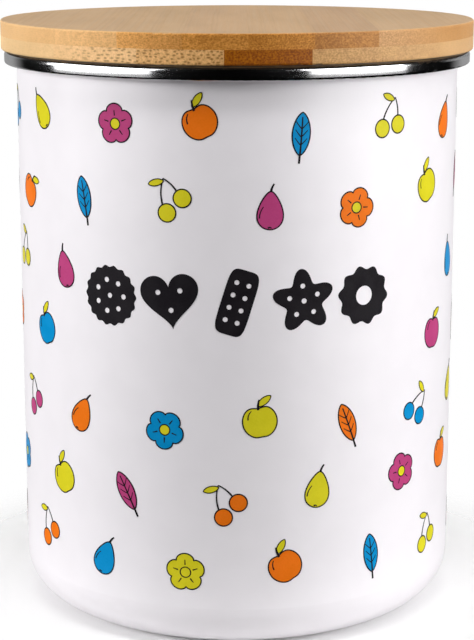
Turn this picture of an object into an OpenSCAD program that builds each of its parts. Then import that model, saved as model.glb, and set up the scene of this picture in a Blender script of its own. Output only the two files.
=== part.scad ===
// Round enamelled steel biscuit tin with a steel-trimmed rim and a laminated bamboo lid.
// The lid is three plies of flat staves, turned to a stepped disc. Its plug carries a
// soft finned seal that fits the tin's mouth. Millimetres, +Z up, standing on z = 0.

/* [Tin] */
// Outside diameter of the tin's wall
tin_d = 131; // [118:0.5:150]
// Height of the top of the rim, where the lid rests
rim_top = 166.2; // [110:0.1:220]
// Thickness of the enamelled sheet
sheet_t = 0.8; // [0.6:0.05:1.1]
// Outside radius of the turn from the wall into the base
base_corner_r = 13.5; // [8:0.5:20]
// Width of the flat ring that the tin stands on
foot_w = 5; // [3:0.5:9]
// Height of the sunk base panel above the standing ring
panel_rise = 1.2; // [0.6:0.1:2.4]

/* [Rim] */
// Width of the folded hem round the mouth
hem_w = 3.95; // [3.2:0.05:5.5]
// Height of the folded hem
hem_h = 2.95; // [2.2:0.05:5]
// Inside radius of the hem's bends
hem_inner_r = 0.2; // [0.1:0.05:0.4]
// Rounding of the hem's lower lip
lip_r = 0.2; // [0.1:0.05:0.7]
// Thickness of the steel trim
trim_t = 0.4; // [0.25:0.05:0.6]
// Gap between the trim and the hem that it is crimped over
trim_gap = 0.05; // [0.02:0.01:0.12]
// Reach of the trim over the hem, from the outside of the rim
trim_over = 3.4; // [2.6:0.1:3.8]
// Reach of the trim under the lip, from the outside of the rim
trim_under = 1.8; // [1.2:0.1:2.4]

/* [Lid] */
// Overhang of the lid beyond the rim
lid_overhang = 0.9; // [0:0.1:4]
// Thickness of each of the three plies
ply_t = 4.4; // [3.8:0.1:7]
// Rounding of the lid's top edge
lid_edge_r = 0.6; // [0.3:0.1:3]
// Rounding of the lid's lower edge
lid_under_r = 0.8; // [0.3:0.1:2]
// Number of staves across the top ply, and across the plug ply
face_staves = 8; // [4:1:10]
// Sideways shift of the joints in the top ply and the plug ply
face_shift = 3; // [-4:0.5:4]
// Number of staves across the middle ply
core_staves = 6; // [4:1:9]
// Sideways shift of the joints in the middle ply
core_shift = -3.4; // [-6:0.1:6]

/* [Plug and seal] */
// Gap between the plug and the inside of the mouth
plug_gap = 3.2; // [2:0.1:5]
// Rounding of the plug's lower edge
plug_edge_r = 0.7; // [0.2:0.1:0.8]
// Height of the seal's groove
groove_h = 2.6; // [1.8:0.1:2.8]
// Depth of the seal's groove
groove_d = 1.6; // [1:0.1:3]
// Gap between the seal and its groove
seal_fit = 0.1; // [0.05:0.01:0.2]
// Gap between the tips of the seal's fins and the mouth
seal_clear = 0.3; // [0.2:0.05:0.6]
// Thickness of a fin at its root
fin_root_t = 0.9; // [0.6:0.05:1]
// Thickness of a fin at its rounded tip
fin_tip_t = 0.5; // [0.3:0.05:0.6]
// Rise of a fin from its root to its tip
fin_rise = 0.5; // [0:0.1:1]

/* [Hidden] */
$fn = 96;
// Run of a cutting shape past the face that it cuts
over = 1;

// Tin
tin_r = tin_d / 2;
mouth_r = tin_r - sheet_t;
foot_r = tin_r - base_corner_r;
step_angle = 45;
step_r = panel_rise / (2 * (1 - cos(step_angle)));
step_run = step_r * sin(step_angle);
panel_r = foot_r - foot_w - 2 * step_run;

// Rim
trim_off = trim_gap + trim_t;
hem_r = mouth_r + hem_w;
hem_top = rim_top - trim_off;
hem_low = hem_top - hem_h;
bend_r = hem_inner_r + sheet_t;
rim_r = hem_r + trim_off;
rim_low = hem_low - trim_off;

// Lid
lid_r = rim_r + lid_overhang;
plug_r = mouth_r - plug_gap;
groove_r = plug_r - groove_d;
core_z = rim_top;
top_z = rim_top + ply_t;
plug_z = rim_top - ply_t;
seal_z = plug_z + ply_t / 2;

// Places of the edges of a ply's staves. The joints share one pitch across the lid, and the
// outer staves run past the lid's edge, where the turning cuts them.
function stave_edges(count, shift) = [
    for (k = [0 : count])
        k == 0 ? -lid_r - over :
        k == count ? lid_r + over :
        shift + (k - count / 2) * 2 * lid_r / count
];
face_edges = stave_edges(face_staves, face_shift);
core_edges = stave_edges(core_staves, core_shift);

function names(stem, count) = [for (i = [1 : count]) str(stem, i)];

// Waste outside a rounded corner of radius r, whose round is centred on the origin
module corner_waste(r) {
    if (r > 0) difference() {
        square(r + over);
        circle(r);
    }
}

// Rectangle from the origin with its lower outer and upper outer corners rounded
module outer_rounded(w, h, low_r, top_r) {
    difference() {
        square([w, h]);
        translate([w - low_r, low_r]) mirror([0, 1]) corner_waste(low_r);
        translate([w - top_r, h - top_r]) corner_waste(top_r);
    }
}

// Section under the sunk base panel, from the axis to the foot of its soft step
module panel_section() {
    square([panel_r, panel_rise]);
    intersection() {
        translate([panel_r, panel_rise - step_r]) circle(step_r);
        square([panel_r + step_r, panel_rise]);
    }
    translate([panel_r, 0]) difference() {
        square([2 * step_run, panel_rise / 2]);
        translate([2 * step_run, step_r]) circle(step_r);
    }
}

// Section of the drawn cup up to the hem
module cup_section() {
    wall_h = hem_top - bend_r;
    difference() {
        outer_rounded(tin_r, wall_h, base_corner_r, 0);
        difference() {
            translate([0, sheet_t]) outer_rounded(mouth_r, wall_h, base_corner_r - sheet_t, 0);
            translate([0, sheet_t]) panel_section();
        }
        panel_section();
    }
}

// Section of the hem: the wall folds out over the mouth and down to a short lip
module hem_section() {
    translate([mouth_r, hem_low]) difference() {
        outer_rounded(hem_w, hem_h, lip_r, bend_r);
        translate([bend_r, hem_h - bend_r]) mirror([1, 0]) corner_waste(bend_r);
        translate([sheet_t, -over])
            outer_rounded(hem_w - 2 * sheet_t, hem_h - sheet_t + over, 0, hem_inner_r);
    }
}

// Section of the trim: a channel crimped over the hem, open towards the wall
module trim_section() {
    trim_h = rim_top - rim_low;
    translate([rim_r - trim_over, rim_low]) difference() {
        outer_rounded(trim_over, trim_h, lip_r + trim_off, bend_r + trim_off);
        translate([-over, trim_t])
            outer_rounded(trim_over - trim_t + over, trim_h - 2 * trim_t,
                lip_r + trim_gap, bend_r + trim_gap);
        translate([-over, -over])
            square([trim_over - trim_under + over, trim_t + 2 * over]);
    }
}

// Section of one of the seal's fins, from its root in the groove to its tip
module fin_section() {
    tip_r = fin_tip_t / 2;
    tip_x = mouth_r - seal_clear - tip_r;
    polygon([
        [groove_r + seal_fit, -fin_root_t / 2],
        [plug_r, -fin_root_t / 2],
        [tip_x, fin_rise - tip_r],
        [tip_x, fin_rise + tip_r],
        [plug_r, fin_root_t / 2],
        [groove_r + seal_fit, fin_root_t / 2]
    ]);
    translate([tip_x, fin_rise]) circle(tip_r);
}

// Section of the seal: a band that fills the groove, with two fins
module seal_section() {
    band_h = groove_h - 2 * seal_fit;
    translate([groove_r + seal_fit, -band_h / 2])
        square([plug_r - groove_r - seal_fit, band_h]);
    for (side = [-1, 1])
        translate([0, side * (band_h - fin_root_t) / 2]) fin_section();
}

// Stave i between its edges, cut from a ply turned from the given section
module stave(edges, i, base_z) {
    intersection() {
        translate([0, 0, base_z]) rotate_extrude() children();
        translate([edges[i - 1], -lid_r - over, base_z - over])
            cube([edges[i] - edges[i - 1], 2 * (lid_r + over), ply_t + 2 * over]);
    }
}

module can_body() {
    color("white") rotate_extrude() {
        cup_section();
        hem_section();
    }
}

module rim_trim() {
    color("silver") rotate_extrude() trim_section();
}

module seal_ring() {
    color("gainsboro") translate([0, 0, seal_z]) rotate_extrude() seal_section();
}

module top_stave(i) {
    color(i % 2 == 0 ? "burlywood" : "tan")
        stave(face_edges, i, top_z) outer_rounded(lid_r, ply_t, 0, lid_edge_r);
}

module core_stave(i) {
    color(i % 2 == 0 ? "wheat" : "peru")
        stave(core_edges, i, core_z) outer_rounded(lid_r, ply_t, lid_under_r, 0);
}

module plug_stave(i) {
    color(i % 2 == 0 ? "burlywood" : "tan")
        stave(face_edges, i, plug_z) difference() {
            outer_rounded(plug_r, ply_t, plug_edge_r, 0);
            translate([groove_r, (ply_t - groove_h) / 2]) square([groove_d + over, groove_h]);
        }
}

can_body();
rim_trim();
seal_ring();
for (i = [1 : face_staves])
    top_stave(i);
for (i = [1 : core_staves])
    core_stave(i);
for (i = [1 : face_staves])
    plug_stave(i);
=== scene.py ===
"""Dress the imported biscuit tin: white printed enamel, bright steel trim and a laminated bamboo lid.

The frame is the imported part's own: metres, +Z up, the tin standing on z = 0 with its front towards -Y.
"""

import logging
import math
import random
from dataclasses import dataclass
from enum import Enum
from typing import Callable, Sequence

import bmesh
import bpy
from mathutils import Matrix, Vector


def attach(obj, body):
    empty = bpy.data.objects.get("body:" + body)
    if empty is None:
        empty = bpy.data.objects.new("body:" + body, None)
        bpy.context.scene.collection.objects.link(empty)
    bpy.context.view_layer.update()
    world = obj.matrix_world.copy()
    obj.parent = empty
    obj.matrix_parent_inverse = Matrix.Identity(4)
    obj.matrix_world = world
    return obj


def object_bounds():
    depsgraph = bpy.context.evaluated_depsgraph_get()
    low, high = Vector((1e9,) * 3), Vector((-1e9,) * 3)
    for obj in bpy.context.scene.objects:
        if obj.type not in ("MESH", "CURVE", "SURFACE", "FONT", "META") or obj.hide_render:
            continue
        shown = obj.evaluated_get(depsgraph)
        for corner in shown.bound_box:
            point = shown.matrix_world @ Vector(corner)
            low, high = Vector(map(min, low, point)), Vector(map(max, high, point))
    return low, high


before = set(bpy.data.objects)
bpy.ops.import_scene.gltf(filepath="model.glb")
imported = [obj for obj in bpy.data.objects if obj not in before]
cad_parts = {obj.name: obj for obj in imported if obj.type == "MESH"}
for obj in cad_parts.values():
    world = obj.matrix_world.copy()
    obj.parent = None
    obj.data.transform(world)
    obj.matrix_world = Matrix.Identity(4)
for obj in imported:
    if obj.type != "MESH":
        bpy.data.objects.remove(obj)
CAD_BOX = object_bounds()

LOG = logging.getLogger("biscuit_tin")
MM = 0.001
FULL_TURN = 2 * math.pi

Colour = tuple[float, float, float]
Hole = tuple[float, float, float]
Point = tuple[float, float]
Span = tuple[float, float]
Outline = Callable[[float], Point]
Feed = float | Colour | bpy.types.NodeSocket

NOISE_SPAN: Span = (0.3, 0.7)


def srgb(red: int, green: int, blue: int) -> Colour:
    """Turn a display colour into linear light, by the numbers of the sRGB standard.

    Args:
        red: Red level from 0 to 255.
        green: Green level from 0 to 255.
        blue: Blue level from 0 to 255.

    Returns:
        The colour in linear light, from 0 to 1.
    """
    levels = (level / 255 for level in (red, green, blue))
    return tuple(v / 12.92 if v <= 0.04045 else ((v + 0.055) / 1.055) ** 2.4 for v in levels)


class ShaderGraph:
    """One material's node tree, built node by node around a principled shader."""

    # Sockets of the mix node for colours
    MIX_FACTOR = 0
    MIX_FIRST = 6
    MIX_SECOND = 7
    MIX_RESULT = 2
    # Sway of fibres across, along and up, in waves per pitch, and their stray from an even grid
    SWAY = (0.5, 0.02, 0.5)
    STRAY = 0.7

    def __init__(self, name: str) -> None:
        """Start an empty tree with a shader and an output.

        Args:
            name: Name of the material.
        """
        self.material = bpy.data.materials.new(name)
        self.material.use_nodes = True
        self.tree = self.material.node_tree
        self.tree.nodes.clear()
        output = self.add("ShaderNodeOutputMaterial")
        self.shader = self.add("ShaderNodeBsdfPrincipled")
        self.tree.links.new(self.shader.outputs["BSDF"], output.inputs["Surface"])

    def add(self, kind: str, **settings: object) -> bpy.types.Node:
        """Add a node.

        Args:
            kind: Blender's name for the node type.
            **settings: Properties to set on the node.

        Returns:
            The new node.
        """
        node = self.tree.nodes.new(kind)
        for key, value in settings.items():
            setattr(node, key, value)
        return node

    def feed(self, target: bpy.types.NodeSocket, value: Feed) -> None:
        """Link a socket to an input, or set a constant on it.

        Args:
            target: Input socket.
            value: Output socket, number or colour.
        """
        if isinstance(value, bpy.types.NodeSocket):
            self.tree.links.new(value, target)
        elif isinstance(value, tuple) and target.type == "RGBA":
            target.default_value = (*value, 1.0)
        else:
            target.default_value = value

    def set(self, **inputs: Feed) -> None:
        """Set the shader's inputs.

        Args:
            **inputs: Input names in lower case with underscores, and what feeds them.
        """
        for key, value in inputs.items():
            self.feed(self.shader.inputs[key.replace("_", " ").title().replace("Ior", "IOR")], value)

    def spot(
        self, shift: Sequence[float] = (0, 0, 0), scale: Sequence[float] = (1, 1, 1)
    ) -> bpy.types.NodeSocket:
        """Return the point on the piece, moved and then scaled.

        Args:
            shift: Move in metres.
            scale: Pattern units per metre along each axis.

        Returns:
            A vector socket.
        """
        place = self.add("ShaderNodeTexCoord").outputs["Object"]
        moved = self.add("ShaderNodeVectorMath", operation="ADD")
        self.feed(moved.inputs[0], place)
        moved.inputs[1].default_value = shift
        scaled = self.add("ShaderNodeVectorMath", operation="MULTIPLY")
        self.feed(scaled.inputs[0], moved.outputs[0])
        scaled.inputs[1].default_value = scale
        return scaled.outputs[0]

    def facing(self, axis: str) -> bpy.types.NodeSocket:
        """Return how squarely the surface faces along an axis.

        Args:
            axis: The axis.

        Returns:
            A number socket, from -1 to 1.
        """
        normal = self.add("ShaderNodeTexCoord").outputs["Normal"]
        parts = self.add("ShaderNodeSeparateXYZ")
        self.feed(parts.inputs[0], normal)
        return parts.outputs[axis]

    def place(self, axis: str, shift: Sequence[float] = (0, 0, 0)) -> bpy.types.NodeSocket:
        """Return the point's place along an axis, in metres.

        Args:
            axis: The axis.
            shift: Move of the point before it is read, in metres.

        Returns:
            A number socket.
        """
        parts = self.add("ShaderNodeSeparateXYZ")
        self.feed(parts.inputs[0], self.spot(shift))
        return parts.outputs[axis]

    def noise(
        self, vector: bpy.types.NodeSocket, scale: float = 1.0, detail: float = 2.0
    ) -> bpy.types.NodeSocket:
        """Return soft noise from 0 to 1.

        Args:
            vector: Where it is read.
            scale: Grains per unit of the vector.
            detail: Octaves of finer grain.

        Returns:
            A number socket.
        """
        node = self.add("ShaderNodeTexNoise")
        self.feed(node.inputs["Vector"], vector)
        node.inputs["Scale"].default_value = scale
        node.inputs["Detail"].default_value = detail
        return node.outputs["Fac"]

    def bundles(self, shift: Sequence[float], pitch: float, flatness: float) -> bpy.types.NodeSocket:
        """Return the distance to the nearest of the fibres that run along Y, as a share of their pitch.

        Args:
            shift: Move of the fibres in metres.
            pitch: Mean distance between fibres in metres.
            flatness: Height of a fibre as a share of its width.

        Returns:
            A number socket.
        """
        bend = self.noise(self.spot(shift, tuple(waves / pitch for waves in self.SWAY)), detail=1.0)
        parts = self.add("ShaderNodeSeparateXYZ")
        self.feed(parts.inputs[0], self.spot(shift, (1 / pitch, 1 / pitch, 1 / (pitch * flatness))))
        across = self.math("ADD", parts.outputs["X"], bend)
        section = self.add("ShaderNodeCombineXYZ")
        self.feed(section.inputs["X"], across)
        self.feed(section.inputs["Y"], parts.outputs["Z"])
        node = self.add("ShaderNodeTexVoronoi", voronoi_dimensions="2D")
        self.feed(node.inputs["Vector"], section.outputs[0])
        node.inputs["Scale"].default_value = 1.0
        node.inputs["Randomness"].default_value = self.STRAY
        return node.outputs["Distance"]

    def math(self, operation: str, first: Feed, second: Feed = 0.0) -> bpy.types.NodeSocket:
        """Return the result of a sum on one or two numbers.

        Args:
            operation: Blender's name for the operation.
            first: First number.
            second: Second number.

        Returns:
            A number socket.
        """
        node = self.add("ShaderNodeMath", operation=operation)
        self.feed(node.inputs[0], first)
        self.feed(node.inputs[1], second)
        return node.outputs[0]

    def fade(self, value: Feed, start: Span, end: Span = (0.0, 1.0)) -> bpy.types.NodeSocket:
        """Map a number from one span to another with soft, clamped ends.

        Args:
            value: The number.
            start: The span that it comes from; a falling span turns the fade round.
            end: The span that it goes to.

        Returns:
            A number socket.
        """
        node = self.add("ShaderNodeMapRange", interpolation_type="SMOOTHSTEP")
        self.feed(node.inputs["Value"], value)
        rising = start[0] <= start[1]
        node.inputs["From Min"].default_value = min(start)
        node.inputs["From Max"].default_value = max(start)
        node.inputs["To Min"].default_value = end[0] if rising else end[1]
        node.inputs["To Max"].default_value = end[1] if rising else end[0]
        return node.outputs["Result"]

    def blend(self, factor: Feed, first: Feed, second: Feed, mode: str = "MIX") -> bpy.types.NodeSocket:
        """Return a blend of two colours.

        Args:
            factor: Share of the second colour.
            first: First colour.
            second: Second colour.
            mode: Blender's name for the way they blend.

        Returns:
            A colour socket.
        """
        node = self.add("ShaderNodeMix", data_type="RGBA", blend_type=mode)
        self.feed(node.inputs[self.MIX_FACTOR], factor)
        self.feed(node.inputs[self.MIX_FIRST], first)
        self.feed(node.inputs[self.MIX_SECOND], second)
        return node.outputs[self.MIX_RESULT]

    def relief(self, height: bpy.types.NodeSocket, depth: float) -> None:
        """Give the shader a fine relief.

        Args:
            height: Height from 0 to 1.
            depth: Depth of the full height, in metres.
        """
        node = self.add("ShaderNodeBump")
        node.inputs["Strength"].default_value = 1.0
        node.inputs["Distance"].default_value = depth
        self.feed(node.inputs["Height"], height)
        self.feed(self.shader.inputs["Normal"], node.outputs["Normal"])


@dataclass(frozen=True)
class EnamelFinish:
    """Glossy vitreous enamel: near white, with a faint mottle and a slow wave in its surface."""

    light: Colour = srgb(247, 243, 247)
    shade: Colour = srgb(245, 241, 245)
    gloss: Span = (0.28, 0.33)
    ior: float = 1.52
    wave: float = 9 * MM
    wave_share: float = 3.0
    peel: float = 1.6 * MM
    depth: float = 0.002 * MM

    def material(self, name: str) -> bpy.types.Material:
        """Return the enamel as a new material.

        Args:
            name: Name of the material.

        Returns:
            The material.
        """
        graph = ShaderGraph(name)
        spot = graph.spot()
        wave = graph.noise(spot, 1 / self.wave, 1.0)
        peel = graph.noise(spot, 1 / self.peel, 2.0)
        graph.set(
            base_color=graph.blend(graph.fade(wave, NOISE_SPAN), self.light, self.shade),
            roughness=graph.fade(peel, NOISE_SPAN, self.gloss),
            ior=self.ior,
        )
        height = graph.math("ADD", graph.math("MULTIPLY", wave, self.wave_share), peel)
        graph.relief(height, self.depth)
        return graph.material


@dataclass(frozen=True)
class InkFinish:
    """Satin ceramic ink fired into the enamel: even colour with a slight unevenness of its layer."""

    colour: Colour
    gloss: Span = (0.3, 0.38)
    specular: float = 0.07
    ior: float = 1.5
    grain: float = 0.5 * MM
    grain_share: float = 0.4
    drift: float = 5 * MM
    drift_share: float = 0.6
    layer_span: Span = (0.35, 0.65)
    thin_gain: float = 1.07
    thin_lift: float = 0.004

    def material(self, name: str) -> bpy.types.Material:
        """Return the ink as a new material.

        Args:
            name: Name of the material.

        Returns:
            The material.
        """
        graph = ShaderGraph(name)
        spot = graph.spot()
        grain = graph.noise(spot, 1 / self.grain, 2.0)
        drift = graph.noise(spot, 1 / self.drift, 1.0)
        fine = graph.math("MULTIPLY", grain, self.grain_share)
        broad = graph.math("MULTIPLY", drift, self.drift_share)
        layer = graph.fade(graph.math("ADD", fine, broad), self.layer_span)
        thin = tuple(min(1.0, level * self.thin_gain + self.thin_lift) for level in self.colour)
        graph.set(
            base_color=graph.blend(layer, self.colour, thin),
            roughness=graph.fade(grain, NOISE_SPAN, self.gloss),
            specular_ior_level=self.specular,
            ior=self.ior,
        )
        return graph.material


class Ink(Enum):
    """The inks of the print."""

    BLUE = InkFinish(srgb(2, 138, 198))
    ORANGE = InkFinish(srgb(234, 115, 20))
    PLUM = InkFinish(srgb(182, 66, 121))
    LIME = InkFinish(srgb(214, 204, 36))
    DARK = InkFinish(srgb(24, 21, 25))
    BLACK = InkFinish(srgb(28, 25, 29))


@dataclass(frozen=True)
class SteelFinish:
    """Mirror-polished stainless steel with faint lines round the ring and its foot turned in."""

    colour: Colour = (0.80, 0.80, 0.81)
    gloss: Span = (0.09, 0.16)
    line: float = 0.12 * MM
    line_depth: float = 0.0003
    smear: float = 6 * MM
    smear_span: Span = (0.35, 0.7)
    smear_shade: float = 0.93
    foot: Span = (161.45 * MM, 164.25 * MM)
    foot_depth: float = 0.1

    def material(self, name: str) -> bpy.types.Material:
        """Return the steel as a new material.

        Args:
            name: Name of the material.

        Returns:
            The material.
        """
        graph = ShaderGraph(name)
        lines = graph.noise(graph.spot(scale=(1, 1, 1 / self.line)))
        smear = graph.noise(graph.spot(), 1 / self.smear)
        tint = tuple(level * self.smear_shade for level in self.colour)
        graph.set(
            base_color=graph.blend(graph.fade(smear, self.smear_span), self.colour, tint),
            metallic=1.0,
            roughness=graph.fade(lines, NOISE_SPAN, self.gloss),
        )
        foot = graph.fade(graph.place("Z"), self.foot, (0.0, self.foot_depth))
        graph.relief(graph.math("ADD", graph.math("MULTIPLY", lines, self.line_depth), foot), MM)
        return graph.material


@dataclass(frozen=True)
class SiliconeFinish:
    """Soft milky silicone with a dusty, matt skin."""

    colour: Colour = srgb(228, 228, 222)
    gloss: Span = (0.42, 0.6)
    ior: float = 1.41
    dust: float = 0.4 * MM
    dust_shade: float = 0.94
    depth: float = 0.01 * MM

    def material(self, name: str) -> bpy.types.Material:
        """Return the silicone as a new material.

        Args:
            name: Name of the material.

        Returns:
            The material.
        """
        graph = ShaderGraph(name)
        dust = graph.noise(graph.spot(), 1 / self.dust, 3.0)
        dull = tuple(level * self.dust_shade for level in self.colour)
        graph.set(
            base_color=graph.blend(graph.fade(dust, NOISE_SPAN), self.colour, dull),
            roughness=graph.fade(dust, NOISE_SPAN, self.gloss),
            ior=self.ior,
        )
        graph.relief(dust, self.depth)
        return graph.material


@dataclass(frozen=True)
class BambooTone:
    """Mean colours of one strip of bamboo, and how strongly its fibre bundles and flecks stand out."""

    face: Colour
    flank: Colour
    end: Colour
    pore_depth: float
    pore_pitch: float
    fleck: float
    pore_flatness: float = 0.6
    lean: float = 0.0
    # Near-black painted shade, laid under the lid's outer edge in place of the shadow in the gap above
    # the trim
    painted_shade: Colour = srgb(24, 15, 9)


class Bamboo(Enum):
    """The strips that the lid's maker mixed."""

    PALE = BambooTone(
        srgb(203, 169, 128), srgb(224, 187, 136), srgb(226, 180, 122),
        pore_depth=0.1, pore_pitch=1.3 * MM, fleck=0.1,
    )
    STRAW = BambooTone(
        srgb(203, 168, 127), srgb(222, 178, 124), srgb(227, 174, 109),
        pore_depth=0.15, pore_pitch=1.5 * MM, fleck=0.11, pore_flatness=0.4, lean=0.05,
    )
    SPECKLED = BambooTone(
        srgb(202, 167, 126), srgb(238, 196, 142), srgb(230, 184, 127),
        pore_depth=0.54, pore_pitch=1.8 * MM, fleck=0.1, pore_flatness=0.52,
    )
    PORED = BambooTone(
        srgb(202, 167, 126), srgb(222, 174, 112), srgb(211, 161, 101),
        pore_depth=0.56, pore_pitch=1.5 * MM, fleck=0.15, pore_flatness=0.64, lean=0.04,
    )
    WHEAT = BambooTone(
        srgb(203, 168, 127), srgb(210, 168, 119), srgb(191, 145, 88),
        pore_depth=0.15, pore_pitch=1.0 * MM, fleck=0.15, lean=-0.07,
    )
    TAN = BambooTone(
        srgb(203, 168, 127), srgb(195, 144, 89), srgb(188, 141, 89),
        pore_depth=0.15, pore_pitch=1.0 * MM, fleck=0.18,
    )
    HONEY = BambooTone(
        srgb(201, 166, 125), srgb(218, 159, 88), srgb(210, 148, 75),
        pore_depth=0.15, pore_pitch=1.2 * MM, fleck=0.16, lean=0.14,
    )
    AMBER = BambooTone(
        srgb(200, 164, 124), srgb(202, 139, 68), srgb(189, 126, 53),
        pore_depth=0.2, pore_pitch=1.1 * MM, fleck=0.18, lean=0.03,
    )
    TOFFEE = BambooTone(
        srgb(201, 165, 124), srgb(194, 130, 59), srgb(180, 117, 43),
        pore_depth=0.2, pore_pitch=1.0 * MM, fleck=0.21,
    )
    BROWN = BambooTone(
        srgb(198, 162, 124), srgb(182, 130, 72), srgb(172, 113, 46),
        pore_depth=0.1, pore_pitch=1.0 * MM, fleck=0.19, lean=-0.04,
    )
    DARK = BambooTone(
        srgb(189, 149, 106), srgb(158, 90, 18), srgb(147, 80, 2),
        pore_depth=0.2, pore_pitch=1.1 * MM, fleck=0.22,
    )


@dataclass(frozen=True)
class BambooFinish:
    """Lacquered bamboo cut from a solid: bundles show as dots on end grain and streaks along it."""

    tone: BambooTone
    gloss: Span = (0.42, 0.52)
    specular: float = 0.25
    ior: float = 1.47
    stretch: float = 60.0
    streak: float = 1.3 * MM
    streak_swing: Span = (0.02, 0.07)
    hair: float = 0.3 * MM
    hair_swing: float = 0.02
    hair_height: float = 0.4
    flecks: float = 0.46 * MM
    cloud: float = 14 * MM
    cloud_stretch: float = 4.0
    cloud_swing: float = 0.05
    swing_span: Span = (0.25, 0.75)
    end_span: Span = (0.45, 0.97)
    flat_span: Span = (0.5, 0.9)
    pore_edge: Span = (0.42, 0.06)
    pore_cover: float = 0.198
    pore_span: Span = (0.45, 1.0)
    pore_side: float = 0.04
    pore_dip: float = 0.3
    relief: float = 0.02 * MM
    warmth: float = 0.4
    # Painted shade under the lid's outer edge, standing in for the shadow in the gap above the trim: its
    # share, the radii where it fades in, and how squarely downward the surface must face
    seat_painted_shade: float = 0.0
    painted_shade_edge: Span = (68.4 * MM, 69.0 * MM)
    under_span: Span = (-0.45, -0.9)
    middle: float = 0.0
    half_width: float = 1.0

    def material(self, name: str, shift: Sequence[float]) -> bpy.types.Material:
        """Return the strip's finish.

        Args:
            name: Name of the material.
            shift: Place in the bamboo that the strip is cut from, in metres.

        Returns:
            A new material.
        """
        graph = ShaderGraph(name)
        tone = self.tone

        def grain(pitch: float, stretch: float) -> bpy.types.NodeSocket:
            """Return coordinates of that pitch, drawn out along the strip."""
            return graph.spot(shift, (1 / pitch, 1 / (pitch * stretch), 1 / pitch))

        bundles = graph.bundles(shift, tone.pore_pitch, tone.pore_flatness)
        pores = graph.fade(bundles, self.pore_edge)
        streak = graph.noise(grain(self.streak, self.stretch), detail=3.0)
        hair = graph.noise(grain(self.hair, self.stretch))
        fleck = graph.noise(grain(self.flecks, self.stretch))
        cloud = graph.noise(grain(self.cloud, self.cloud_stretch))
        end = graph.fade(graph.math("ABSOLUTE", graph.facing("Y")), self.end_span)
        flat = graph.fade(graph.math("ABSOLUTE", graph.facing("Z")), self.flat_span)

        body = graph.blend(flat, graph.blend(end, tone.flank, tone.end), tone.face)
        body = self.swung(graph, body, streak, graph.fade(end, (0.0, 1.0), self.streak_swing))
        body = self.swung(graph, body, hair, self.hair_swing)
        body = self.swung(graph, body, cloud, self.cloud_swing)
        body = self.swung(graph, body, fleck, graph.math("MULTIPLY", end, tone.fleck))
        across = graph.math("DIVIDE", graph.place("X", (-self.middle, 0, 0)), self.half_width)
        lean = graph.math("MULTIPLY", graph.math("MULTIPLY", across, -tone.lean), end)
        body = self.scaled(graph, body, graph.math("ADD", lean, 1.0))
        depth = graph.fade(end, self.pore_span, (self.pore_side, tone.pore_depth))
        gap = graph.math("SUBTRACT", self.pore_cover, pores)
        body = self.scaled(graph, body, graph.math("ADD", graph.math("MULTIPLY", gap, depth), 1.0))
        # Painted shade: the downward-facing outer edge of the lid is darkened towards near black, in
        # place of the shadow in the gap above the trim
        if self.seat_painted_shade:
            out = graph.add("ShaderNodeVectorMath", operation="LENGTH")
            graph.feed(out.inputs[0], graph.spot(scale=(1, 1, 0)))
            edge = graph.fade(out.outputs["Value"], self.painted_shade_edge, (0.0, self.seat_painted_shade))
            under = graph.fade(graph.facing("Z"), self.under_span)
            body = graph.blend(graph.math("MULTIPLY", under, edge), body, tone.painted_shade)
        graph.set(
            base_color=body,
            roughness=graph.fade(streak, NOISE_SPAN, self.gloss),
            specular_ior_level=self.specular,
            ior=self.ior,
        )
        dips = graph.math("MULTIPLY", pores, self.pore_dip)
        ridges = graph.math("MULTIPLY", hair, self.hair_height)
        graph.relief(graph.math("SUBTRACT", ridges, dips), self.relief)
        return graph.material

    def scaled(
        self, graph: ShaderGraph, colour: bpy.types.NodeSocket, level: bpy.types.NodeSocket
    ) -> bpy.types.NodeSocket:
        """Lighten or darken a colour, warmer where it is darker.

        Args:
            graph: The material's tree.
            colour: The colour.
            level: What the colour is multiplied by, about 1.

        Returns:
            A colour socket.
        """
        power = graph.math("SUBTRACT", 1 + self.warmth, graph.math("MULTIPLY", level, self.warmth))
        warm = graph.add("ShaderNodeGamma")
        graph.feed(warm.inputs["Color"], colour)
        graph.feed(warm.inputs["Gamma"], power)
        node = graph.add("ShaderNodeVectorMath", operation="SCALE")
        graph.feed(node.inputs[0], warm.outputs[0])
        graph.feed(node.inputs["Scale"], level)
        return node.outputs[0]

    def swung(
        self, graph: ShaderGraph, colour: bpy.types.NodeSocket, pattern: bpy.types.NodeSocket, share: Feed
    ) -> bpy.types.NodeSocket:
        """Lighten and darken a colour by a pattern.

        Args:
            graph: The material's tree.
            colour: The colour.
            pattern: Noise from 0 to 1 about a half.
            share: How far the colour swings each way.

        Returns:
            A colour socket.
        """
        swing = graph.fade(pattern, self.swing_span, (-1.0, 1.0))
        return self.scaled(graph, colour, graph.math("ADD", graph.math("MULTIPLY", swing, share), 1.0))


@dataclass(frozen=True)
class FloorFinish:
    """Plain pale one-sided floor with a barely seen mottle, which fades into the white."""

    light: Colour = (0.89, 0.89, 0.89)
    shade: Colour = (0.86, 0.86, 0.86)
    gloss: float = 0.8
    mottle: float = 40 * MM
    solid_to: float = 50 * MM
    gone_by: float = 122 * MM

    def material(self, name: str) -> bpy.types.Material:
        """Return the floor's paint as a new material.

        Args:
            name: Name of the material.

        Returns:
            The material.
        """
        graph = ShaderGraph(name)
        mottle = graph.noise(graph.spot(), 1 / self.mottle, 3.0)
        away = graph.add("ShaderNodeVectorMath", operation="LENGTH")
        graph.feed(away.inputs[0], graph.spot())
        pool = graph.fade(away.outputs["Value"], (self.gone_by, self.solid_to))
        under = graph.add("ShaderNodeNewGeometry").outputs["Backfacing"]
        graph.set(
            base_color=graph.blend(mottle, self.light, self.shade),
            roughness=self.gloss,
            alpha=graph.math("MULTIPLY", pool, graph.math("SUBTRACT", 1.0, under)),
        )
        return graph.material


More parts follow.
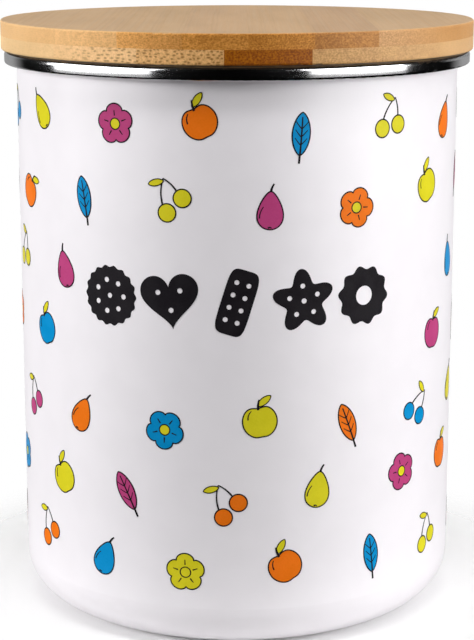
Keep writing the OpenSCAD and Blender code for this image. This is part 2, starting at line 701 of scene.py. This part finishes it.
def dress(node: str, material: bpy.types.Material) -> None:
    """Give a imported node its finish.

    Args:
        node: Name of the node.
        material: Its finish.
    """
    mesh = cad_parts[node].data
    mesh.materials.clear()
    mesh.materials.append(material)
    LOG.info("dressed %s with %s", node, material.name)


def finish_mesh(
    name: str, bm: bmesh.types.BMesh, materials: Sequence[bpy.types.Material]
) -> bpy.types.Object:
    """Turn a bmesh into an object in the scene.

    Args:
        name: Name of the object and its mesh.
        bm: The shape, which is freed.
        materials: The object's materials in the order of the faces' indices.

    Returns:
        The new object, at the origin.
    """
    mesh = bpy.data.meshes.new(name)
    bm.to_mesh(mesh)
    bm.free()
    for material in materials:
        mesh.materials.append(material)
    piece = bpy.data.objects.new(name, mesh)
    bpy.context.scene.collection.objects.link(piece)
    return piece


def polar(radius: Callable[[float], float]) -> Outline:
    """Return an outline from its radius at each angle.

    Args:
        radius: Radius in millimetres as a function of the angle.

    Returns:
        The outline's point at each angle.
    """
    return lambda angle: (radius(angle) * math.cos(angle), radius(angle) * math.sin(angle))


def scalloped(radius: float, lobes: int, depth: float, turn: float = 0.0) -> Outline:
    """Return a round outline with even lobes.

    Args:
        radius: Mean radius in millimetres.
        lobes: Number of lobes.
        depth: Swing of the radius as a share of it.
        turn: Angle of the first lobe.

    Returns:
        The outline.
    """
    return polar(lambda angle: radius * (1 + depth * math.cos(lobes * (angle - turn))))


def rounded_bar(width: float, height: float, squareness: float) -> Outline:
    """Return an oblong outline with rounded corners.

    Args:
        width: Width in millimetres.
        height: Height in millimetres.
        squareness: Power of the curve; 2 is an ellipse.

    Returns:
        The outline.
    """
    def reach(value: float) -> float:
        """Return the value drawn out towards the corners."""
        return math.copysign(abs(value) ** (2 / squareness), value)

    return lambda angle: (width / 2 * reach(math.cos(angle)), height / 2 * reach(math.sin(angle)))


def dimple(angle: float, centre: float, spread: float) -> float:
    """Return a bell curve of an angle about a centre.

    Args:
        angle: The angle.
        centre: Angle of the peak.
        spread: Width of the bell.

    Returns:
        A share from 0 to 1.
    """
    off = math.remainder(angle - centre, FULL_TURN)
    return math.exp(-((off / spread) ** 2))


def apple_outline(angle: float) -> Point:
    """Return a point of an apple that is broad above and dimpled at both ends.

    Args:
        angle: Angle round the apple.

    Returns:
        The point in millimetres.
    """
    size = 5.0
    drop = 0.6
    swell = 0.07 * math.sin(angle)
    crown = 0.2 * dimple(angle, centre=math.pi / 2, spread=0.42)
    foot = 0.07 * dimple(angle, centre=-math.pi / 2, spread=0.3)
    radius = size * (1 + swell) * (1 - crown - foot)
    return radius * math.cos(angle), radius * math.sin(angle) - drop


def pear_outline(angle: float) -> Point:
    """Return a point of a pear that narrows to its neck.

    Args:
        angle: Angle round the pear.

    Returns:
        The point in millimetres.
    """
    half_width = 4.6
    half_height = 5.4
    drop = 0.4
    neck = 0.52 * ((1 + math.sin(angle)) / 2) ** 1.3
    return half_width * math.cos(angle) * (1 - neck), half_height * math.sin(angle) - drop


def leaf_outline(angle: float) -> Point:
    """Return a point of a leaf with a pointed tip and foot.

    Args:
        angle: Angle round the leaf.

    Returns:
        The point in millimetres.
    """
    half_width = 2.7
    half_length = 6.0
    taper = 0.35
    across = math.sin(angle)
    return half_width * across * abs(across) ** taper, half_length * math.cos(angle)


def small_leaf(share: float) -> Outline:
    """Return the outline of a leaf at a share of its size.

    Args:
        share: Share of the full size.

    Returns:
        The outline.
    """
    return lambda angle: tuple(share * part for part in leaf_outline(angle))


def bloom_outline(angle: float) -> Point:
    """Return a point of a flower with five round petals.

    Args:
        angle: Angle round the flower.

    Returns:
        The point in millimetres.
    """
    petals = 5
    inner = 4.6
    petal = 1.15
    bluntness = 0.7
    radius = inner + petal * abs(math.cos(petals / 2 * angle)) ** bluntness
    return radius * math.cos(angle), radius * math.sin(angle)


def heart_outline(angle: float) -> Point:
    """Return a point of a heart.

    Args:
        angle: Angle round the heart.

    Returns:
        The point in millimetres.
    """
    half_width = 8.4
    waves = (6.9, -2.6, -1.1, -0.5)
    lift = 0.9
    up = sum(size * math.cos(order * angle) for order, size in enumerate(waves, 1))
    return half_width * math.sin(angle) ** 3, up + lift


def disc(radius: float) -> Outline:
    """Return a round outline of that radius in millimetres."""
    return polar(lambda angle: radius)


@dataclass(frozen=True)
class Patch:
    """A filled shape with an inked edge, in millimetres about the motif's middle."""

    outline: Outline
    ink: Ink | None = None
    centre: Point = (0.0, 0.0)
    turn: float = 0.0
    points: int = 48
    edge: float = 0.38


@dataclass(frozen=True)
class Stroke:
    """A tapered dark line along a bent path, in millimetres about the motif's middle."""

    start: Point
    bend: Point
    end: Point
    width: float = 0.55
    steps: int = 6
    taper: float = 0.35


def petal_line(turn: float) -> Stroke:
    """Return a short line along a petal.

    Args:
        turn: Angle of the petal.

    Returns:
        The line.
    """
    reaches = (2.2, 2.9, 3.7)
    start, bend, end = ((reach * math.cos(turn), reach * math.sin(turn)) for reach in reaches)
    return Stroke(start, bend, end, width=0.4)


class Motif(Enum):
    """The small motifs of the scattered print. A patch without an ink takes the motif's own."""

    APPLE = (
        Patch(apple_outline),
        Patch(small_leaf(0.42), Ink.LIME, centre=(2.0, 5.3), turn=-1.05, points=20, edge=0.3),
        Stroke((0.0, 3.0), (0.1, 4.6), (0.7, 5.9), width=0.7),
        Stroke((-3.2, 0.6), (-3.1, 2.2), (-1.9, 3.0), width=0.4),
    )
    PEAR = (
        Patch(pear_outline),
        Stroke((0.0, 4.7), (0.1, 5.9), (0.8, 6.9), width=0.7),
        Stroke((-2.9, -2.6), (-3.0, -0.9), (-1.9, 0.6), width=0.4),
        Stroke((-0.5, -5.2), (0.0, -4.8), (0.5, -5.2), width=0.5),
    )
    LEAF = (
        Patch(leaf_outline),
        Stroke((0.0, -8.0), (0.2, -2.0), (0.0, 4.6), width=0.6, steps=8),
        *(
            Stroke((0.0, y), (side * 0.8, y + 0.7), (side * 1.7, y + 1.9), width=0.35)
            for y in (-3.0, -0.8, 1.4)
            for side in (-1, 1)
        ),
    )
    BLOOM = (
        Patch(bloom_outline, points=80),
        Patch(disc(1.7), Ink.LIME, points=24, edge=0.35),
        *(petal_line(k * FULL_TURN / 5) for k in range(5)),
    )
    CHERRIES = (
        Patch(disc(2.7), centre=(-2.9, -2.9), points=32),
        Patch(disc(2.7), centre=(3.0, -2.0), points=32),
        Stroke((-2.7, -0.6), (-1.6, 3.0), (1.6, 5.4), width=0.5, steps=8),
        Stroke((2.8, 0.3), (2.9, 3.0), (1.6, 5.4), width=0.5, steps=8),
        Patch(small_leaf(0.4), Ink.LIME, centre=(-0.8, 5.6), turn=1.2, points=20, edge=0.3),
    )


@dataclass(frozen=True)
class BiscuitShape:
    """A plain biscuit in outline with its docking holes, in millimetres about its middle."""

    outline: Outline
    holes: tuple[Hole, ...]
    points: int = 96
    turn: float = 0.0


def hole_ring(count: int, radius: float, hole: float, turn: float = 0.0) -> tuple[Hole, ...]:
    """Return even docking holes round a circle.

    Args:
        count: Number of holes.
        radius: Radius of the circle in millimetres.
        hole: Radius of a hole in millimetres.
        turn: Angle of the first hole.

    Returns:
        Each hole's place and radius.
    """
    angles = (turn + FULL_TURN * k / count for k in range(count))
    return tuple((radius * math.cos(a), radius * math.sin(a), hole) for a in angles)


class Biscuit(Enum):
    """The biscuits in the black row across the front."""

    ROUND = BiscuitShape(
        scalloped(radius=8.3, lobes=18, depth=0.035),
        ((0.0, 0.0, 0.75), *hole_ring(count=7, radius=4.5, hole=0.75)),
        points=144,
    )
    HEART = BiscuitShape(
        heart_outline,
        ((-3.2, 2.6, 0.75), (3.2, 2.6, 0.75), (0.0, -2.6, 0.75)),
        turn=0.12,
    )
    FINGER = BiscuitShape(
        rounded_bar(width=8.6, height=18.6, squareness=5.0),
        tuple((x, y, 0.7) for x in (-1.7, 1.7) for y in (-5.4, -1.8, 1.8, 5.4)),
        turn=-0.3,
    )
    STAR = BiscuitShape(
        scalloped(radius=7.2, lobes=5, depth=0.25, turn=math.pi / 2),
        ((0.0, 0.0, 0.75), *hole_ring(count=5, radius=4.2, hole=0.7, turn=math.pi / 2)),
        points=120,
        turn=0.1,
    )
    WREATH = BiscuitShape(
        scalloped(radius=7.9, lobes=10, depth=0.07),
        ((0.0, 0.0, 2.7),),
        points=120,
        turn=-0.1,
    )


@dataclass
class PrintFilm:
    """Thin printed film that is laid flat, cut into narrow strips and wrapped round the wall."""

    name: str
    wall: float
    inks: tuple[Ink, ...]
    proud: float = 0.045 * MM
    sunk: float = 0.03 * MM
    strip: float = 1.6 * MM
    weld: float = 0.001 * MM
    smooth_to: float = math.radians(60)

    def __post_init__(self) -> None:
        """Start the empty film."""
        self.film = bmesh.new()

    def lay(self, flat: bmesh.types.BMesh, across: float, height: float, turn: float) -> None:
        """Add a flat drawing to the film.

        Args:
            flat: The drawing in metres about its middle, facing +Z, which is freed.
            across: Place round the wall from the front, in metres to the viewer's right.
            height: Place above the base, in metres.
            turn: Turn of the drawing to the left, in radians.
        """
        bmesh.ops.triangulate(flat, faces=flat.faces)
        bmesh.ops.rotate(flat, verts=flat.verts, matrix=Matrix.Rotation(turn, 3, "Z"))
        reach = max(abs(vert.co.x) for vert in flat.verts)
        for k in range(-int(reach / self.strip), int(reach / self.strip) + 1):
            bmesh.ops.bisect_plane(
                flat, geom=[*flat.verts, *flat.edges, *flat.faces],
                plane_co=(k * self.strip, 0, 0), plane_no=(1, 0, 0), dist=self.weld,
            )
        bmesh.ops.recalc_face_normals(flat, faces=flat.faces)
        down = [face for face in flat.faces if face.normal.z < 0]
        bmesh.ops.reverse_faces(flat, faces=down)
        bmesh.ops.translate(flat, verts=flat.verts, vec=(0, 0, self.proud))
        bmesh.ops.solidify(flat, geom=flat.faces, thickness=self.proud + self.sunk)
        for edge in flat.edges:
            edge.smooth = edge.calc_face_angle(math.pi) < self.smooth_to
        for face in flat.faces:
            face.smooth = True
        for vert in flat.verts:
            angle = (across + vert.co.x) / self.wall
            radius = self.wall + vert.co.z
            vert.co = (radius * math.sin(angle), -radius * math.cos(angle), height + vert.co.y)
        sheet = bpy.data.meshes.new(self.name)
        flat.to_mesh(sheet)
        flat.free()
        self.film.from_mesh(sheet)
        bpy.data.meshes.remove(sheet)

    def finish(self) -> bpy.types.Object:
        """Make the film a piece of the tin.

        Returns:
            The piece.
        """
        materials = [ink.value.material(f"{self.name}_{ink.name.lower()}") for ink in self.inks]
        piece = finish_mesh(self.name, self.film, materials)
        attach(piece, "can")
        LOG.info("printed %s with %d faces", self.name, len(piece.data.polygons))
        return piece


@dataclass
class FruitPrint:
    """Scattered fruit, flowers and leaves all round the wall, in rows that drift sideways."""

    wall: float
    columns: int = 15
    rows: int = 7
    first: float = 0.5
    low: float = 26 * MM
    row_pitch: float = 20.6 * MM
    drift: float = 0.36
    stray: float = 2.2 * MM
    tilt: float = math.radians(38)
    layer: float = 0.004 * MM
    clear_half: float = 54 * MM
    clear_low: float = 84 * MM
    clear_high: float = 120 * MM
    motif_step: int = 2
    ink_step: int = 2
    seed: int = 11
    inks: tuple[Ink, ...] = (Ink.BLUE, Ink.ORANGE, Ink.PLUM, Ink.LIME, Ink.DARK)
    colours: tuple[Ink, ...] = (Ink.ORANGE, Ink.BLUE, Ink.LIME, Ink.PLUM)

    def draw_patch(self, flat: bmesh.types.BMesh, patch: Patch, ink: Ink, lift: float) -> None:
        """Draw a filled shape with its dark edge.

        Args:
            flat: The drawing that it is added to.
            patch: The shape.
            ink: The motif's own ink.
            lift: Height of its layer of ink, in metres.
        """
        made = bmesh.ops.create_circle(flat, cap_ends=True, segments=patch.points, radius=1.0)
        verts = made["verts"]
        for vert in verts:
            spot = patch.outline(math.atan2(vert.co.y, vert.co.x))
            vert.co = (spot[0] * MM, spot[1] * MM, lift)
        bmesh.ops.rotate(flat, verts=verts, matrix=Matrix.Rotation(patch.turn, 3, "Z"))
        bmesh.ops.translate(flat, verts=verts, vec=(patch.centre[0] * MM, patch.centre[1] * MM, 0))
        fill = next(face for face in verts[0].link_faces if len(face.verts) == patch.points)
        fill.normal_update()
        fill.material_index = self.inks.index(Ink.DARK)
        bmesh.ops.inset_region(
            flat, faces=[fill], thickness=patch.edge * MM, use_boundary=True, use_even_offset=True,
        )
        fill.material_index = self.inks.index(patch.ink or ink)

    def draw_stroke(self, flat: bmesh.types.BMesh, stroke: Stroke, lift: float) -> None:
        """Draw a tapered line.

        Args:
            flat: The drawing that it is added to.
            stroke: The line.
            lift: Height of its layer of ink, in metres.
        """
        made = bmesh.ops.create_grid(flat, x_segments=stroke.steps, y_segments=1, size=1.0)
        start, bend, end = (Vector(point) for point in (stroke.start, stroke.bend, stroke.end))
        for vert in made["verts"]:
            along = (vert.co.x + 1) / 2
            spot = start.lerp(bend, along).lerp(bend.lerp(end, along), along)
            way = (bend - start).lerp(end - bend, along).normalized()
            half = vert.co.y * stroke.width / 2 * (1 - stroke.taper * along)
            vert.co = ((spot.x - way.y * half) * MM, (spot.y + way.x * half) * MM, lift)
        for face in {face for vert in made["verts"] for face in vert.link_faces}:
            face.material_index = self.inks.index(Ink.DARK)

    def draw(self, motif: Motif, ink: Ink) -> bmesh.types.BMesh:
        """Return a motif drawn flat.

        Args:
            motif: The motif.
            ink: Its own ink.

        Returns:
            The drawing in metres about its middle.
        """
        flat = bmesh.new()
        for layer, part in enumerate(motif.value):
            if isinstance(part, Patch):
                self.draw_patch(flat, part, ink, layer * self.layer)
            else:
                self.draw_stroke(flat, part, layer * self.layer)
        return flat

    def build(self) -> bpy.types.Object:
        """Scatter the motifs over the wall, clear of the row of biscuits.

        Returns:
            The film.
        """
        film = PrintFilm("fruit_print", self.wall, self.inks)
        dice = random.Random(self.seed)
        motifs = list(Motif)
        pitch = FULL_TURN * self.wall / self.columns
        for row in range(self.rows):
            for column in range(self.columns):
                place = (column + row * self.drift + self.first) * pitch
                across = math.remainder(place + dice.uniform(-1, 1) * self.stray, FULL_TURN * self.wall)
                height = self.low + row * self.row_pitch + dice.uniform(-1, 1) * self.stray
                turn = dice.uniform(-1, 1) * self.tilt
                if abs(across) < self.clear_half and self.clear_low < height < self.clear_high:
                    continue
                motif = motifs[(column * self.motif_step + row) % len(motifs)]
                ink = self.colours[(column + self.ink_step * row) % len(self.colours)]
                film.lay(self.draw(motif, ink), across, height, turn)
        return film.finish()


@dataclass
class BiscuitRow:
    """A bold black row of biscuits across the front of the tin."""

    wall: float
    height: float = 102 * MM
    pitch: float = 18.6 * MM
    hole_points: int = 16
    large_hole: float = 1.0
    large_hole_points: int = 48

    def draw(self, shape: BiscuitShape) -> bmesh.types.BMesh:
        """Return a biscuit drawn flat, with its holes left open.

        Args:
            shape: The biscuit.

        Returns:
            The drawing in metres about its middle.
        """
        flat = bmesh.new()
        edge = bmesh.ops.create_circle(flat, segments=shape.points, radius=1.0)["verts"]
        for vert in edge:
            spot = shape.outline(math.atan2(vert.co.y, vert.co.x))
            vert.co = (spot[0] * MM, spot[1] * MM, 0)
        for across, up, radius in shape.holes:
            place = Matrix.Translation((across * MM, up * MM, 0))
            points = self.hole_points if radius < self.large_hole else self.large_hole_points
            bmesh.ops.create_circle(flat, segments=points, radius=radius * MM, matrix=place)
        bmesh.ops.triangle_fill(flat, use_beauty=True, edges=flat.edges, normal=(0, 0, 1))
        return flat

    def build(self) -> bpy.types.Object:
        """Lay the row.

        Returns:
            The film.
        """
        film = PrintFilm("biscuit_print", self.wall, (Ink.BLACK,))
        middle = (len(Biscuit) - 1) / 2
        for place, biscuit in enumerate(Biscuit):
            across = (place - middle) * self.pitch
            film.lay(self.draw(biscuit.value), across, self.height, biscuit.value.turn)
        return film.finish()


@dataclass
class Can:
    """The enamelled tin with its print and its bright trim."""

    wall: float = 65.5 * MM
    enamel: EnamelFinish = EnamelFinish()
    steel: SteelFinish = SteelFinish()

    def dress(self) -> None:
        """Give the tin and its trim their finishes."""
        dress("can_body", self.enamel.material("white_enamel"))
        dress("rim_trim", self.steel.material("bright_steel"))

    def build(self) -> None:
        """Print the wall."""
        FruitPrint(self.wall).build()
        BiscuitRow(self.wall).build()


@dataclass
class Lid:
    """The laminated bamboo lid with its seal."""

    top: tuple[Bamboo, ...] = (
        Bamboo.STRAW, Bamboo.STRAW, Bamboo.HONEY, Bamboo.AMBER,
        Bamboo.TOFFEE, Bamboo.BROWN, Bamboo.TAN, Bamboo.TAN,
    )
    core: tuple[Bamboo, ...] = (
        Bamboo.PALE, Bamboo.SPECKLED, Bamboo.PORED, Bamboo.DARK, Bamboo.WHEAT, Bamboo.WHEAT,
    )
    plug: tuple[Bamboo, ...] = (
        Bamboo.HONEY, Bamboo.PALE, Bamboo.AMBER, Bamboo.HONEY,
        Bamboo.PALE, Bamboo.HONEY, Bamboo.AMBER, Bamboo.PALE,
    )
    seal: SiliconeFinish = SiliconeFinish()
    # Share of painted shade under the outer edge of the core staves, in place of the shadow in the gap
    # above the trim
    seat_painted_shade: float = 0.92
    seed: int = 5

    def dress(self) -> None:
        """Give each stave its own strip of bamboo, with painted shade under the outer edge of the core
        staves, and the seal its silicone.
        """
        dice = random.Random(self.seed)
        plies = (
            ("top_stave", self.top, 0.0),
            ("core_stave", self.core, self.seat_painted_shade),
            ("plug_stave", self.plug, 0.0),
        )
        for stem, tones, painted_shade in plies:
            for number, tone in enumerate(tones, 1):
                node = f"{stem}_{number}"
                shift = tuple(dice.uniform(-1, 1) for _ in range(3))
                sides = [corner[0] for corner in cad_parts[node].bound_box]
                finish = BambooFinish(
                    tone.value,
                    seat_painted_shade=painted_shade,
                    middle=(max(sides) + min(sides)) / 2,
                    half_width=(max(sides) - min(sides)) / 2,
                )
                dress(node, finish.material(f"bamboo_{node}", shift))
        dress("seal_ring", self.seal.material("milky_silicone"))


@dataclass(frozen=True)
class Softbox:
    """A soft light that faces the tin, its place given in degrees from the front and above the floor."""

    name: str
    azimuth: float
    elevation: float
    width: float
    height: float
    power: float
    distance: float = 1.25
    mirrored: bool = True
    lit: bool = True

    def build(self, target: Vector) -> bpy.types.Object:
        """Place the light.

        Args:
            target: Point that it faces.

        Returns:
            The light.
        """
        light = bpy.data.lights.new(self.name, "AREA")
        light.shape = "RECTANGLE"
        light.size = self.width
        light.size_y = self.height
        light.energy = self.power
        aside = math.radians(self.azimuth)
        above = math.radians(self.elevation)
        flat = self.distance * math.cos(above)
        height = self.distance * math.sin(above)
        away = Vector((flat * math.sin(aside), -flat * math.cos(aside), height))
        holder = bpy.data.objects.new(self.name, light)
        holder.location = target + away
        holder.rotation_euler = away.to_track_quat("Z", "Y").to_euler()
        holder.visible_camera = False
        holder.visible_glossy = self.mirrored
        holder.visible_diffuse = self.lit
        bpy.context.scene.collection.objects.link(holder)
        return holder


@dataclass
class Studio:
    """The pale floor, the soft lights and the camera."""

    floor_radius: float = 0.3
    floor_hole: float = 53 * MM
    floor_points: int = 96
    camera_back: float = 565.0 * MM
    camera_height: float = 207.8 * MM
    camera_pitch: float = math.radians(12.48)
    focal_pixels: float = 1877.3
    image_height: int = 640
    sensor: float = 24.0
    clip_start: float = 0.01
    backdrop: float = 1.0
    front_glow: float = 0.0
    rear_glow: float = 0.35
    glow_from: float = 0.6
    glow_full: float = 0.8
    # Each softbox's name, azimuth, elevation, width, height and power
    softboxes: tuple[Softbox, ...] = (
        Softbox("left_softbox", -71, 20, 1.47, 0.7, 12.1, lit=False),
        Softbox("right_softbox", 60.6, 20, 1.23, 0.7, 13.5, lit=False),
        Softbox("left_card", -68.5, 0.3, 1.32, 0.2, 1.62, lit=False),
        Softbox("right_card", 60.6, 0.3, 1.23, 0.2, 1.47, lit=False),
        Softbox("left_low_card", -68.5, -12, 1.32, 0.45, 0.72, lit=False),
        Softbox("right_low_card", 60.6, -12, 1.23, 0.45, 0.65, lit=False),
        Softbox("left_side_fill", -86, 9, 0.5, 0.4, 13.1, mirrored=False),
        Softbox("right_side_fill", 86, 9, 0.5, 0.4, 4.7, mirrored=False),
        Softbox("left_front_fill", -64, 24, 0.4, 0.4, 4.3, mirrored=False),
        Softbox("right_front_fill", 64, 24, 0.4, 0.4, 5.0, mirrored=False),
        Softbox("right_low_fill", 60, 5, 1.2, 0.5, 6.9, mirrored=False),
        Softbox("right_top_fill", 60, 52, 1.0, 0.5, 2.8, mirrored=False),
        Softbox("front_top_fill", 0, 68, 0.6, 0.2, 6.5, mirrored=False),
        Softbox("rear_fill", 180, 15, 1.6, 0.8, 5.0, mirrored=False),
        Softbox("base_fill", 0, -90, 0.12, 0.12, 3.0, distance=0.7, mirrored=False),
    )

    def build_floor(self) -> None:
        """Lay the floor."""
        bm = bmesh.new()
        bmesh.ops.create_circle(bm, cap_ends=True, segments=self.floor_points, radius=self.floor_radius)
        middle = next(iter(bm.faces))
        width = self.floor_radius - self.floor_hole
        bmesh.ops.inset_region(
            bm, faces=[middle], thickness=width, use_boundary=True, use_even_offset=True,
        )
        bmesh.ops.delete(bm, geom=[middle], context="FACES")
        floor = finish_mesh("studio_floor", bm, [FloorFinish().material("pale_floor")])
        floor.visible_glossy = False

    def build_world(self) -> None:
        """Light the air: white behind the tin, dark on the viewer's side, and a white sky for the eye."""
        world = bpy.data.worlds.new("studio_air")
        world.use_nodes = True
        tree = world.node_tree
        tree.nodes.clear()
        output = tree.nodes.new("ShaderNodeOutputWorld")
        seen = tree.nodes.new("ShaderNodeBackground")
        felt = tree.nodes.new("ShaderNodeBackground")
        choice = tree.nodes.new("ShaderNodeMixShader")
        path = tree.nodes.new("ShaderNodeLightPath")
        way = tree.nodes.new("ShaderNodeTexCoord")
        parts = tree.nodes.new("ShaderNodeSeparateXYZ")
        glow = tree.nodes.new("ShaderNodeMapRange")
        seen.inputs["Strength"].default_value = self.backdrop
        glow.inputs["From Min"].default_value = self.glow_from
        glow.inputs["From Max"].default_value = self.glow_full
        glow.inputs["To Min"].default_value = self.front_glow
        glow.inputs["To Max"].default_value = self.rear_glow
        for source, target in (
            (way.outputs["Generated"], parts.inputs[0]),
            (parts.outputs["Y"], glow.inputs["Value"]),
            (glow.outputs["Result"], felt.inputs["Strength"]),
            (path.outputs["Is Camera Ray"], choice.inputs[0]),
            (felt.outputs[0], choice.inputs[1]),
            (seen.outputs[0], choice.inputs[2]),
            (choice.outputs[0], output.inputs["Surface"]),
        ):
            tree.links.new(source, target)
        for shade in (seen, felt):
            shade.inputs["Color"].default_value = (1, 1, 1, 1)
        bpy.context.scene.world = world

    def build_lights(self) -> None:
        """Place the softboxes round the tin."""
        middle = Vector((0, 0, (CAD_BOX[0][2] + CAD_BOX[1][2]) / 2))
        for softbox in self.softboxes:
            softbox.build(middle)

    def build_camera(self) -> None:
        """Set the camera at the viewer's place."""
        data = bpy.data.cameras.new("viewer")
        data.sensor_fit = "VERTICAL"
        data.sensor_height = self.sensor
        data.lens = self.focal_pixels * self.sensor / self.image_height
        data.clip_start = self.clip_start
        camera = bpy.data.objects.new("viewer", data)
        camera.location = (0, -self.camera_back, self.camera_height)
        camera.rotation_euler = (math.pi / 2 - self.camera_pitch, 0, 0)
        bpy.context.scene.collection.objects.link(camera)
        bpy.context.scene.camera = camera

    def build(self) -> None:
        """Build the whole studio."""
        bpy.context.scene.view_settings.view_transform = "Standard"
        self.build_camera()
        self.build_floor()
        self.build_world()
        self.build_lights()
        LOG.info("built the studio with %d softboxes", len(self.softboxes))


def main() -> None:
    """Build the tin's looks in order."""
    logging.basicConfig(level=logging.INFO, format="%(name)s: %(message)s")
    Studio().build()
    can = Can()
    can.dress()
    can.build()
    Lid().dress()


if __name__ == "__main__":
    main()
